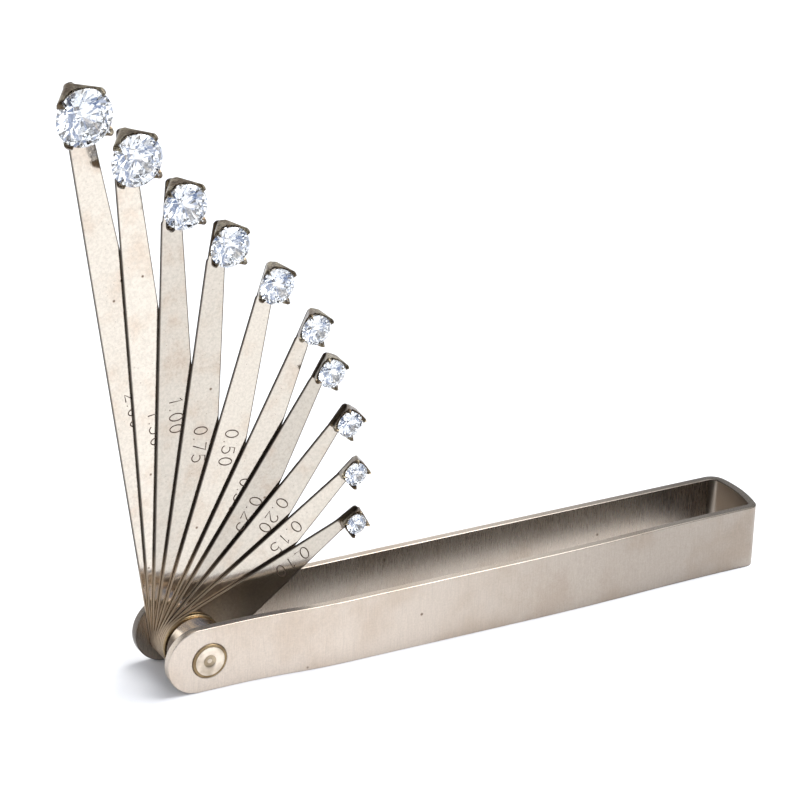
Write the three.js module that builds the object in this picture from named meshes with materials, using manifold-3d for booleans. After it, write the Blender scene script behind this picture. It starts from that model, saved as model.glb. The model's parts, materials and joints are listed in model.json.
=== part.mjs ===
// Folding stone-size gauge.  Ten tapered steel blades turn on one rivet at the open end of a
// case bent from flat strip.  Each blade carries a clear round brilliant in a four-claw setting,
// and the stones run from 8.1 mm across on the longest blade to 3 mm on the shortest.
//
// Millimetres.  The origin is on the pivot axis, in the plane of the case's back face.
// +X runs along the case to its closed end, +Y points out of the back face, +Z is up.

import * as THREE from 'three';
import { ConvexGeometry } from 'three/addons/geometries/ConvexGeometry.js';
import { mergeVertices } from 'three/addons/utils/BufferGeometryUtils.js';
import Module from 'manifold-3d';

const wasm = await Module();
wasm.setup();

// ---------------------------------------------------------------- driving dimensions

const STRIP_HEIGHT = 9.8;
const STRIP_THICKNESS = 1.2;
const CASE_WIDTH = 11.7;        // over both legs, measured at the rivet
const CASE_MID_HEIGHT = 0.2;    // the rivet sits this far below the middle of the strip
const LEG_END_CENTRE = -1.5;    // X of the centre of the rounded leg ends
const BACK_LEG_LENGTH = 94.55;  // straight run of the back leg up to the first bend
const FRONT_LEG_BOW = 0.95;     // how far the front leg swells out between its two ends

const RIVET_HEAD_RADIUS = 2.6;
const RIVET_SHANK_RADIUS = 1.9;
const RIVET_PROUD = 0.2;        // the front head stands out of the leg by this much
const RUNNING_FIT = 0.05;       // radial clearance of everything threaded on the rivet

const BLADE_THICKNESS = 0.35;
const BLADE_PITCH = 0.45;       // from one blade to the next in the stack
const EYE_RADIUS = 4.3;         // rounded pivot end of every blade
const SIDE_GAP = 0.1;           // free play along the rivet between neighbours in the stack
const WASHER_THICKNESS = 0.5;
const WASHER_RADIUS = 4.45;
const SPACER_RADIUS = 4.2;

const CLAW_WALL = 0.3;          // sheet thickness of the settings
const CULET_GAP = 0.25;         // point of the stone above the blade face
const STONE_FIT = 0.04;         // clearance left between a stone and its setting

const FITTING_SEGMENTS = 32;    // sides of the turned parts
const BORE_SEGMENTS = 32;

// One row per blade, from the back of the stack to the front: across is the stone's
// diameter, reach is from the pivot to the stone's centre, aside is how far the stone was
// soldered off the blade's centre line, and opened is how far the blade stands away from the
// stowed position.
const BLADES = [
  { across: 8.1, reach: 82.5, aside: 0.35, opened: 101.35, vented: true },
  { across: 7.4, reach: 74.3, aside: -0.25, opened: 97.2, vented: true },
  { across: 6.5, reach: 66.0, aside: -0.55, opened: 92.15, vented: true },
  { across: 5.8, reach: 59.3, aside: -0.45, opened: 85.8, vented: false },
  { across: 5.2, reach: 53.5, aside: 0, opened: 77.1, vented: false },
  { across: 4.4, reach: 48.1, aside: 0, opened: 67.9, vented: false },
  { across: 4.1, reach: 42.9, aside: -0.3, opened: 61.7, vented: false },
  { across: 3.8, reach: 37.7, aside: -0.5, opened: 52.1, vented: false },
  { across: 3.4, reach: 32.8, aside: 0, opened: 41.3, vented: false },
  { across: 3.0, reach: 28.5, aside: -0.5, opened: 30.2, vented: false },
];

// Cut of the stones, as fractions of the girdle radius.
const CUT = {
  table: 0.57,
  crown: 0.30,
  star: 0.80,
  girdle: 0.05,
  lowerHalf: 0.22,
  pavilion: 0.86,
};

// Shape of the settings.  Each length is a base plus a share of the girdle radius.
const SETTING = {
  footFar: { base: 0.85, share: 0.71 },      // foot of the wall away from the pivot
  footNear: { base: 0.45, share: 0.70 },     // foot of the wall towards the pivot
  halfFar: { base: 1.35, share: -0.16 },     // half width of the foot away from the pivot
  halfNear: { base: 0.72, share: 0.20 },     // half width of the foot towards the pivot
  front: { base: 0.45, share: 0.76 },        // half side of the square at the girdle
  tip: { base: 0.35, share: 0.72 },          // half side of the square at the claw tips
  claw: { base: 0, share: 0.32 },            // height of the claws above the girdle
  clawInside: { base: 0, share: 0.86 },      // how near the claws come to the stone's axis
  scallop: { base: 0, share: 0.56 },         // half width of the opening between two claws
  scallopDepth: { base: 0, share: 0.42 },    // depth of the openings behind the girdle
};
const TONGUE_INSET = 0.1;       // the tongue under a setting is this much narrower each side
const TONGUE_END_INSET = 0.15;  // and stops this much short of the setting's far wall

const radians = THREE.MathUtils.degToRad;

// ---------------------------------------------------------------- solids and cuts

function solidFrom(geometry) {
  const bare = geometry.clone();
  bare.deleteAttribute('normal');
  bare.deleteAttribute('uv');
  const merged = mergeVertices(bare, 1e-5);
  const mesh = new wasm.Mesh({
    numProp: 3,
    vertProperties: Float32Array.from(merged.attributes.position.array),
    triVerts: Uint32Array.from(merged.index.array),
  });
  return new wasm.Manifold(mesh);
}

function geometryFrom(solid) {
  const mesh = solid.getMesh();
  const geometry = new THREE.BufferGeometry();
  geometry.setAttribute('position', new THREE.BufferAttribute(mesh.vertProperties, 3));
  geometry.setIndex(new THREE.BufferAttribute(mesh.triVerts, 1));
  const flat = geometry.toNonIndexed();
  flat.computeVertexNormals();
  return flat;
}

// A shape drawn in X and Z, given a depth that runs from `front` back to `front + depth` in Y.
function plate(shape, front, depth, curveSegments) {
  const geometry = new THREE.ExtrudeGeometry(shape, { depth, bevelEnabled: false, curveSegments });
  geometry.rotateX(Math.PI / 2);
  geometry.translate(0, front + depth, 0);
  return geometry;
}

// A round bar along Y.
function barAlongY(radius, front, back, segments) {
  const bar = new THREE.CylinderGeometry(radius, radius, back - front, segments);
  bar.translate(0, (front + back) / 2, 0);
  return bar;
}

function named(name, geometry, material) {
  const mesh = new THREE.Mesh(geometry, material);
  mesh.name = name;
  return mesh;
}

function metal(name, color, roughness) {
  return new THREE.MeshStandardMaterial({ name, color, roughness, metalness: 1 });
}

// ---------------------------------------------------------------- case

// Follows the strip's outer face as a run of straights and bends, turning clockwise for a
// positive turn, and returns the points passed with the heading at each.
function walkStrip(start, runs) {
  const path = [{ x: start, y: 0, heading: 0 }];
  for (const run of runs) {
    const steps = run.steps ?? 1;
    const turn = radians(run.turn ?? 0) / steps;
    const arc = run.radius ? 2 * run.radius * Math.sin(Math.abs(turn) / 2) : run.length;
    for (let step = 0; step < steps; step += 1) {
      const last = path[path.length - 1];
      const along = last.heading - turn / 2;
      path.push({
        x: last.x + arc * Math.cos(along),
        y: last.y + arc * Math.sin(along),
        heading: last.heading - turn,
      });
    }
  }
  return path;
}

// Two opposite bends that carry the strip sideways over a given length.
function sideStep(length, sideways) {
  const turn = 2 * Math.atan(sideways / length);
  const radius = length / (2 * Math.sin(turn));
  const degrees = THREE.MathUtils.radToDeg(turn);
  return [
    { radius, turn: -degrees, steps: 3 },
    { radius, turn: degrees, steps: 3 },
  ];
}

function caseOutline() {
  const endOfLegs = LEG_END_CENTRE - STRIP_HEIGHT / 2;
  const swell = sideStep(38, FRONT_LEG_BOW);
  const settle = sideStep(18, FRONT_LEG_BOW).reverse();
  const path = walkStrip(endOfLegs, [
    { length: BACK_LEG_LENGTH },
    { radius: 2.4, turn: 76, steps: 8 },
    { radius: 17.9, turn: 28, steps: 5 },
    { radius: 1.6, turn: 76, steps: 7 },
    ...swell,
    { length: 29 },
    ...settle,
    { length: 14 },
  ]);
  const outer = path.map(({ x, y }) => new THREE.Vector2(x, y));
  const inner = path.map(({ x, y, heading }) => new THREE.Vector2(
    x + STRIP_THICKNESS * Math.sin(heading),
    y - STRIP_THICKNESS * Math.cos(heading),
  ));
  return new THREE.Shape([...outer, ...inner.reverse()]);
}

// The strip seen from the front: both leg ends are half circles.
function caseSideProfile() {
  const half = STRIP_HEIGHT / 2;
  const beyondClosedEnd = 100;
  const shape = new THREE.Shape();
  shape.moveTo(beyondClosedEnd, CASE_MID_HEIGHT + half);
  shape.absarc(LEG_END_CENTRE, CASE_MID_HEIGHT, half, Math.PI / 2, 3 * Math.PI / 2, false);
  shape.lineTo(beyondClosedEnd, CASE_MID_HEIGHT - half);
  shape.closePath();
  return shape;
}

function caseGeometry() {
  const tall = STRIP_HEIGHT + 2;
  const bent = new THREE.ExtrudeGeometry(caseOutline(), { depth: tall, bevelEnabled: false });
  bent.translate(0, 0, CASE_MID_HEIGHT - tall / 2);
  const beyondLegs = CASE_WIDTH + 4;
  const sides = plate(caseSideProfile(), 2 - beyondLegs, beyondLegs, 16);
  const bore = barAlongY(RIVET_HEAD_RADIUS + RUNNING_FIT, 2 - beyondLegs, 2, BORE_SEGMENTS);
  return geometryFrom(solidFrom(bent).intersect(solidFrom(sides)).subtract(solidFrom(bore)));
}

// ---------------------------------------------------------------- rivet, washer and spacer

function turned(profile) {
  const points = profile.map(([radius, y]) => new THREE.Vector2(radius, y));
  return new THREE.LatheGeometry(points, FITTING_SEGMENTS);
}

function rivetGeometry() {
  const front = -CASE_WIDTH - RIVET_PROUD;
  const bevel = 0.25;
  const dimpleRadius = 1.0;
  const dimpleDepth = 0.25;
  const pipRadius = 0.35;
  return turned([
    [0, front + dimpleDepth / 2],
    [pipRadius, front + dimpleDepth / 2],
    [pipRadius + 0.15, front + dimpleDepth],
    [dimpleRadius - 0.2, front + dimpleDepth],
    [dimpleRadius, front],
    [RIVET_HEAD_RADIUS - bevel, front],
    [RIVET_HEAD_RADIUS, front + bevel],
    [RIVET_HEAD_RADIUS, -CASE_WIDTH + STRIP_THICKNESS],
    [RIVET_SHANK_RADIUS, -CASE_WIDTH + STRIP_THICKNESS],
    [RIVET_SHANK_RADIUS, -STRIP_THICKNESS],
    [RIVET_HEAD_RADIUS, -STRIP_THICKNESS],
    [RIVET_HEAD_RADIUS, 0],
    [0, 0],
  ]);
}

// A plain ring on the rivet with its outer edges broken.
function ringGeometry(radius, front, back, edge) {
  const bore = RIVET_SHANK_RADIUS + RUNNING_FIT;
  return turned([
    [bore, front],
    [radius - edge, front],
    [radius, front + edge],
    [radius, back - edge],
    [radius - edge, back],
    [bore, back],
    [bore, front],
  ]);
}

// ---------------------------------------------------------------- blades

const backOfBlade = (index) => -STRIP_THICKNESS - SIDE_GAP - BLADE_PITCH * index;
const frontOfBlade = (index) => backOfBlade(index) - BLADE_THICKNESS;

const girdleRadius = ({ across }) => across / 2;
const settingSize = (name, radius) => SETTING[name].base + SETTING[name].share * radius;
const endHalfWidth = (blade) => 0.45 + 0.33 * girdleRadius(blade);
const footOfSetting = (blade) => blade.reach - settingSize('footNear', girdleRadius(blade));

// Round pivot end, straight taper, then a shoulder down to the narrowing tongue that carries
// the setting.
function bladeOutline(blade) {
  const radius = girdleRadius(blade);
  const shoulder = footOfSetting(blade) - 0.25;
  const shoulderLength = 0.55;
  const wide = endHalfWidth(blade);
  const narrow = settingSize('halfNear', radius) - TONGUE_INSET;
  const tip = settingSize('halfFar', radius) - TONGUE_INSET;
  const end = blade.reach + settingSize('footFar', radius) - TONGUE_END_INSET;
  const start = shoulder - shoulderLength;
  const tangent = Math.atan2(wide, start) + Math.acos(EYE_RADIUS / Math.hypot(start, wide));
  const shape = new THREE.Shape();
  shape.moveTo(start, -wide);
  shape.quadraticCurveTo(shoulder, -wide, shoulder, -narrow);
  shape.lineTo(end, -tip);
  shape.lineTo(end, tip);
  shape.lineTo(shoulder, narrow);
  shape.quadraticCurveTo(shoulder, wide, start, wide);
  shape.absarc(0, 0, EYE_RADIUS, tangent, 2 * Math.PI - tangent, false);
  shape.closePath();
  return shape;
}

function bladeGeometry(blade, index) {
  const curveSegments = 8;
  const through = { front: frontOfBlade(index) - 1, back: backOfBlade(index) + 1 };
  const flat = plate(bladeOutline(blade), frontOfBlade(index), BLADE_THICKNESS, curveSegments);
  const eyeBore = barAlongY(
    RIVET_SHANK_RADIUS + RUNNING_FIT, through.front, through.back, BORE_SEGMENTS,
  );
  const cut = solidFrom(flat).subtract(solidFrom(eyeBore));
  if (!blade.vented) {
    return geometryFrom(cut);
  }
  const ventRadius = 0.5;
  const vent = barAlongY(ventRadius, through.front, through.back, 16);
  vent.translate(footOfSetting(blade) - 1.5, 0, 0);
  return geometryFrom(cut.subtract(solidFrom(vent)));
}

// ---------------------------------------------------------------- settings

// Four corners across the stone's axis, `height` in front of the blade, with their own
// half widths towards the pivot and away from it.
function corners(near, far, halfNear, halfFar, height) {
  return [
    new THREE.Vector3(-near, -height, -halfNear),
    new THREE.Vector3(-near, -height, halfNear),
    new THREE.Vector3(far, -height, -halfFar),
    new THREE.Vector3(far, -height, halfFar),
  ];
}

function squareCorners(half, height) {
  return corners(half, half, half, half, height);
}

// A U-shaped cutter through both walls that face each other, open towards the claw tips.
function scallopCutter(radius, bottom) {
  const half = settingSize('scallop', radius);
  const long = 4 * radius;
  const shape = new THREE.Shape();
  shape.moveTo(half, long);
  shape.lineTo(-half, long);
  shape.absarc(0, bottom + half, half, Math.PI, 2 * Math.PI, false);
  shape.closePath();
  const cutter = new THREE.ExtrudeGeometry(
    shape, { depth: long, bevelEnabled: false, curveSegments: 4 },
  );
  cutter.translate(0, 0, -long / 2);
  cutter.rotateX(Math.PI);
  return cutter;
}

// The room the stone takes up, grown by its clearance and carried on in front of the table.
function stoneRoom(radius, girdle) {
  const half = CUT.girdle * radius / 2;
  const front = girdle + radius;
  const clawInside = settingSize('clawInside', radius);
  const profile = [
    [0, -front],
    [clawInside, -front],
    [clawInside, -girdle - CUT.crown * radius / 2 - STONE_FIT],
    [radius + STONE_FIT, -girdle - half - STONE_FIT],
    [radius + STONE_FIT, -girdle + half + STONE_FIT],
    [0, -girdle + CUT.pavilion * radius + half + 2 * STONE_FIT],
  ];
  const points = profile.map(([r, y]) => new THREE.Vector2(r, y));
  return new THREE.LatheGeometry(points, 24);
}

function settingGeometry(blade) {
  const radius = girdleRadius(blade);
  const girdle = CULET_GAP + (CUT.pavilion + CUT.girdle / 2) * radius;
  const near = settingSize('footNear', radius);
  const far = settingSize('footFar', radius);
  const wide = settingSize('halfNear', radius);
  const narrow = settingSize('halfFar', radius);
  const front = settingSize('front', radius);
  const tip = settingSize('tip', radius);
  const outside = new ConvexGeometry([
    ...corners(near, far, wide, narrow, 0),
    ...squareCorners(front, girdle),
    ...squareCorners(tip, girdle + settingSize('claw', radius)),
  ]);
  const inside = new ConvexGeometry([
    ...corners(
      near - CLAW_WALL, far - CLAW_WALL, wide - CLAW_WALL, narrow - CLAW_WALL / 2, -CLAW_WALL,
    ),
    ...squareCorners(front - CLAW_WALL, girdle),
  ]);
  const bottom = girdle - settingSize('scallopDepth', radius);
  const acrossBlade = scallopCutter(radius, bottom);
  const alongBlade = acrossBlade.clone().rotateY(Math.PI / 2);
  return geometryFrom(
    solidFrom(outside)
      .subtract(solidFrom(inside))
      .subtract(solidFrom(stoneRoom(radius, girdle)))
      .subtract(solidFrom(acrossBlade))
      .subtract(solidFrom(alongBlade)),
  );
}

// ---------------------------------------------------------------- stones

// Eight corners or sixteen, on a circle of the given radius at a height along the axis.
function cornersOnCircle(count, radius, y, offset = 0) {
  return Array.from({ length: count }, (_, index) => {
    const angle = 2 * Math.PI * (index + offset) / count;
    return new THREE.Vector3(radius * Math.cos(angle), y, radius * Math.sin(angle));
  });
}

// Round brilliant with its table towards -Y and the middle of its girdle at the origin.
// The star and lower-half corners lie in the planes of the main facets on either side.
function brilliantGeometry(radius) {
  const girdle = CUT.girdle * radius / 2;
  const crown = CUT.crown * radius;
  const pavilion = CUT.pavilion * radius;
  const eighth = Math.cos(Math.PI / 8);
  const starHeight = crown * (1 - CUT.star * eighth) / (1 - CUT.table);
  const lowerDepth = pavilion * (1 - CUT.lowerHalf * eighth);
  return new ConvexGeometry([
    ...cornersOnCircle(8, CUT.table * radius, -girdle - crown),
    ...cornersOnCircle(8, CUT.star * radius, -girdle - starHeight, 0.5),
    ...cornersOnCircle(16, radius, -girdle),
    ...cornersOnCircle(16, radius, girdle),
    ...cornersOnCircle(8, CUT.lowerHalf * radius, girdle + lowerDepth, 0.5),
    new THREE.Vector3(0, girdle + pavilion, 0),
  ]);
}

// ---------------------------------------------------------------- assembly

function bladeAssembly(blade, index) {
  const number = String(index + 1).padStart(2, '0');
  const radius = girdleRadius(blade);
  const front = frontOfBlade(index);
  const arm = named(
    `blade_${number}`, bladeGeometry(blade, index), metal('blade steel', 0xb9aa98, 0.3),
  );
  const setting = named(
    `setting_${number}`, settingGeometry(blade), metal('setting steel', 0x8c8072, 0.35),
  );
  setting.position.set(blade.reach, front, blade.aside);
  const stone = named(
    `stone_${number}`,
    brilliantGeometry(radius),
    new THREE.MeshStandardMaterial({ name: 'clear stone', color: 0xe8f0ff, roughness: 0.02 }),
  );
  const girdle = CULET_GAP + (CUT.pavilion + CUT.girdle / 2) * radius;
  stone.position.set(blade.reach, front - girdle, blade.aside);

  const group = new THREE.Group();
  group.name = `arm_${number}`;
  group.add(arm, setting, stone);
  group.rotation.y = -radians(blade.opened);
  return group;
}

function fixedParts() {
  const stackFront = frontOfBlade(BLADES.length - 1) - SIDE_GAP;
  const washerFront = stackFront - WASHER_THICKNESS;
  const insideOfFrontLeg = -CASE_WIDTH + STRIP_THICKNESS;
  return [
    named('case', caseGeometry(), metal('case steel', 0xb5a794, 0.4)),
    named('rivet', rivetGeometry(), metal('rivet steel', 0xc2b7a2, 0.35)),
    named(
      'washer',
      ringGeometry(WASHER_RADIUS, washerFront, stackFront, 0.15),
      metal('brass', 0xb08a4a, 0.3),
    ),
    named(
      'spacer',
      ringGeometry(SPACER_RADIUS, insideOfFrontLeg + SIDE_GAP, washerFront - SIDE_GAP, 0.3),
      metal('polished steel', 0xcfc4b2, 0.15),
    ),
  ];
}

const gauge = new THREE.Group();
gauge.name = 'stone_gauge';
gauge.add(...fixedParts(), ...BLADES.map(bladeAssembly));

export default gauge;
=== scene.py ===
import json
import math

import bmesh
import bpy
from mathutils import Matrix, Vector


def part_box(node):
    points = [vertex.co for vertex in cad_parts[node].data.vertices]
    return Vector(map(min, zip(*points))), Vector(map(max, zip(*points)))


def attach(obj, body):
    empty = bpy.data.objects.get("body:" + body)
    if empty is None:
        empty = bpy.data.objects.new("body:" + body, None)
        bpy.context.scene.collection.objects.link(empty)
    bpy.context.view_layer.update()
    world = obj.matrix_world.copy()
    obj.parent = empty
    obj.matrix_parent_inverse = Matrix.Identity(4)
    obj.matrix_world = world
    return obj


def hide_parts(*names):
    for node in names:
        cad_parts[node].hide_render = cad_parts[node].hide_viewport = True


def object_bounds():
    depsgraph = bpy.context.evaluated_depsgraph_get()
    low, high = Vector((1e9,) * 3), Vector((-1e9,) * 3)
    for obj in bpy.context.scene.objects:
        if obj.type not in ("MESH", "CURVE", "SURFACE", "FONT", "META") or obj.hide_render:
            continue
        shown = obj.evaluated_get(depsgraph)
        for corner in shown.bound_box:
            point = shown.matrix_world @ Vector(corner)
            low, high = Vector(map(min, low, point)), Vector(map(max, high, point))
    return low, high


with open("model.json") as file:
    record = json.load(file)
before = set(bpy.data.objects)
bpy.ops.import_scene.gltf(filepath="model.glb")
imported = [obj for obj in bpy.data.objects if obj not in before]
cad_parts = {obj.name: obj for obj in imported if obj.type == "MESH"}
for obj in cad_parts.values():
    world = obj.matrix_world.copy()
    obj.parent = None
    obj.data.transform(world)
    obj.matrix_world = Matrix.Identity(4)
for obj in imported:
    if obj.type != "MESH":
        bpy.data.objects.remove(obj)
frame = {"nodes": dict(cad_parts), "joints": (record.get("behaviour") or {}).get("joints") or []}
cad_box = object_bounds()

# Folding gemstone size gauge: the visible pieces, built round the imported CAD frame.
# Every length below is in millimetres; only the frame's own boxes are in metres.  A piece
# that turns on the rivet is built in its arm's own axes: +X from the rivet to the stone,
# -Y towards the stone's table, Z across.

MM = 0.001

# ---------------------------------------------------------------- sizes

STRIP_THICKNESS = 1.2
STRIP_EDGE = 0.16              # rounding of the strip's edges
LEG_END_CENTRE = -1.5          # X of the centre of the rounded ends of the case
BACK_LEG_LENGTH = 94.52        # from the end of the strip to the first bend
TIGHT_BEND = 76                # degrees, at either side of the closed end
BACK_BEND_RADIUS = 2.4
FRONT_BEND_RADIUS = 1.6
CLOSED_END_RADIUS = 17.9       # of the gentle curve between the two tight bends
FRONT_LEG_BOW = 0.95           # how far the front leg swells out between its ends
BOW_LEAVING = 38               # length over which it swells out, from the closed end
BOW_STRAIGHT = 29              # then it runs straight
BOW_RETURNING = 18             # and comes back over this length
FRONT_LEG_TAIL = 14            # more than is needed: the strip is cut level with the back leg
CLOSED_END_START = 88.0        # beyond this X the inside of the case belongs to its closed end
FRONT_LEG_START = 8.0          # and in front of this depth to the front leg

SHANK_RADIUS = 1.9
BORE_CLEARANCE = 0.05
HEAD_PROUD = 0.2               # the rivet's front head stands out of the leg by this much
DIMPLE_RADIUS = 1.0
DIMPLE_DEPTH = 0.25
PIP_RADIUS = 0.35              # of the raised centre of the dimple
GROOVE_WIDTH = 0.42            # of the sunk border round the rivet's head

BLADE_EDGE = 0.10
SHOULDER_LENGTH = 0.55         # of the rounded step from the blade down to the tongue
SHOULDER_GAP = 0.25            # between that step and the foot of the setting
TONGUE_INSET = 0.1             # the tongue under a setting is this much narrower each side
VENT_RADIUS = 0.5
VENT_INSET = 1.5               # from the foot of the setting back to the middle of the vent
VENTED_ARMS = ("01", "02", "03")

ENGRAVING_RADIUS = 0.10        # radius of the cutter that engraved the numbers
GLYPH_HEIGHT = 2.0
GLYPH_GAP = 0.55

# What is engraved on each blade, where the first figure starts, measured from the rivet,
# and how bright the blade's polish is beside its neighbours.
MARKS = {
    "01": {"text": "2.00", "start": 39.0, "polish": 0.97},
    "02": {"text": "1.50", "start": 35.4, "polish": 1.00},
    "03": {"text": "1.00", "start": 36.7, "polish": 0.78},
    "04": {"text": "0.75", "start": 31.8, "polish": 0.80},
    "05": {"text": "0.50", "start": 31.3, "polish": 0.90},
    "06": {"text": "0.30", "start": 24.5, "polish": 0.86},
    "07": {"text": "0.25", "start": 22.4, "polish": 0.71},
    "08": {"text": "0.20", "start": 23.8, "polish": 0.80},
    "09": {"text": "0.15", "start": 22.4, "polish": 0.87},
    "10": {"text": "0.10", "start": 20.9, "polish": 0.75},
}

# The cut of the stones, as fractions of the girdle radius.
CUT = {"table": 0.57, "crown": 0.30, "star": 0.80, "girdle": 0.05, "lower": 0.22, "pavilion": 0.86}

# The shape of the settings and of the blade under them: each length is a base plus a share
# of the girdle radius.
SETTING = {
    "blade_half": (0.45, 0.33),
    "foot_far": (0.85, 0.71),
    "foot_near": (0.45, 0.70),
    "half_far": (1.35, -0.16),
    "half_near": (0.72, 0.20),
    "front": (0.45, 0.76),
    "tip": (0.42, 0.69),
    "claw": (0, 0.32),
    "claw_inside": (0, 0.92),
    "scallop_depth": (0, 0.42),
    "corner": (0, 0.20),
}
CLAW_SHOULDER = 0.2            # claws widen into the walls this share of their height lower
CLAW_EDGE = 0.07
SCALLOP_SPAN = 0.84            # of each wall between two claws
SETTING_WALL = 0.28
STONE_CLEARANCE = 0.03
INNER_ROUNDING = 0.25          # of a corner's rounding is left on its inner face
CORNER_LOSS = 0.1              # and keeps that face this share of the rounding further in

FLOOR_SIZE = 3000

# Material slots of the faces that aren't in their piece's first slot.
INSIDE_BACK, WORN_EDGE, INSIDE_FRONT, INSIDE_END = 1, 2, 3, 4    # case
GROOVE, DIMPLE = 1, 2                                            # rivet
ENGRAVED = 1                                                     # blade
SHEET_INSIDE = 1                                                 # setting


# ---------------------------------------------------------------- mesh helpers

def object_from(bm, name, materials):
    """A smooth-shaded object, its faces turned outwards, from a bmesh drawn in millimetres."""
    bmesh.ops.recalc_face_normals(bm, faces=bm.faces)
    if bm.calc_volume(signed=True) < 0:
        bmesh.ops.reverse_faces(bm, faces=bm.faces)
    for face in bm.faces:
        face.smooth = True
    bm.transform(Matrix.Scale(MM, 4))
    mesh = bpy.data.meshes.new(name)
    bm.to_mesh(mesh)
    bm.free()
    for material in materials:
        mesh.materials.append(material)
    piece = bpy.data.objects.new(name, mesh)
    bpy.context.scene.collection.objects.link(piece)
    return piece


def bake(piece):
    """Makes the result of a piece's modifiers its own mesh."""
    depsgraph = bpy.context.evaluated_depsgraph_get()
    mesh = bpy.data.meshes.new_from_object(piece.evaluated_get(depsgraph))
    piece.modifiers.clear()
    piece.data = mesh


def settle_face_order(piece):
    """Lists a mesh's faces by place, because a boolean cut may list a few in any order."""
    bm = bmesh.new()
    bm.from_mesh(piece.data)
    by_place = sorted(bm.faces, key=lambda face: tuple(face.calc_center_median()))
    rank = {face: place for place, face in enumerate(by_place)}
    bm.faces.sort(key=rank.get)
    bm.to_mesh(piece.data)
    bm.free()


def round_edges(piece, width, segments, material=-1):
    """Bevels every sharp edge; the material is a slot, or -1 to keep the neighbours' own."""
    bevel = piece.modifiers.new("rounded edges", "BEVEL")
    bevel.width = width * MM
    bevel.segments = segments
    bevel.limit_method = "ANGLE"
    bevel.angle_limit = math.radians(35)
    bevel.loop_slide = False
    bevel.material = material


def even_shading(piece, sharp_angle=50):
    """Keeps flat faces flat beside their rounded edges."""
    piece.data.set_sharp_from_angle(angle=math.radians(sharp_angle))
    weighted = piece.modifiers.new("even shading", "WEIGHTED_NORMAL")
    weighted.keep_sharp = True


def circle(radius, steps, x=0.0):
    turn = 2 * math.pi / steps
    return [(x + radius * math.cos(turn * i), radius * math.sin(turn * i)) for i in range(steps)]


def arc(x, z, radius_x, radius_z, start, end, steps=12):
    """Points along part of an ellipse, both ends included; the angles are in degrees."""
    angles = [math.radians(start + (end - start) * i / steps) for i in range(steps + 1)]
    return [(x + radius_x * math.cos(a), z + radius_z * math.sin(a)) for a in angles]


def plate(loops, front, back):
    """A flat plate between two depths; the first loop is its outline and the rest are holes."""
    bm = bmesh.new()
    edges = []
    for loop in loops:
        ring = [bm.verts.new((x, front, z)) for x, z in loop]
        edges += [bm.edges.new((ring[i - 1], ring[i])) for i in range(len(ring))]
    bmesh.ops.triangle_fill(bm, edges=edges, use_beauty=True, normal=(0, -1, 0))
    lifted = bmesh.ops.extrude_face_region(bm, geom=bm.faces[:])
    moved = [part for part in lifted["geom"] if isinstance(part, bmesh.types.BMVert)]
    bmesh.ops.translate(bm, verts=moved, vec=(0, back - front, 0))
    return bm


def turned(profile, steps=96):
    """A closed profile of (radius, y) points spun about the rivet's axis."""
    bm = bmesh.new()
    rings = []
    for radius, y in profile:
        if radius == 0:
            rings.append([bm.verts.new((0, y, 0))] * steps)
        else:
            rings.append([bm.verts.new((x, y, z)) for x, z in circle(radius, steps)])
    for ring, following in zip(rings, rings[1:] + rings[:1]):
        if ring[0] is ring[1] and following[0] is following[1]:
            continue
        for i in range(steps):
            corners = [ring[i - 1], ring[i], following[i], following[i - 1]]
            bm.faces.new(list(dict.fromkeys(corners)))
    return bm


def local_box(node, opened):
    """A CAD node's corners in its arm's own axes."""
    turn = Matrix.Rotation(opened, 3, "Y")
    points = [turn @ vertex.co / MM for vertex in frame["nodes"][node].data.vertices]
    low = Vector([min(point[axis] for point in points) for axis in range(3)])
    high = Vector([max(point[axis] for point in points) for axis in range(3)])
    return low, high


def finish_piece(piece, node, body, opened=0.0):
    """Turns a piece to where its arm stands at rest and hands it to its CAD body."""
    piece.data.transform(Matrix.Rotation(-opened, 4, "Y"))
    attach(piece, body)
    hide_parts(node)


# ---------------------------------------------------------------- material helpers

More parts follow.
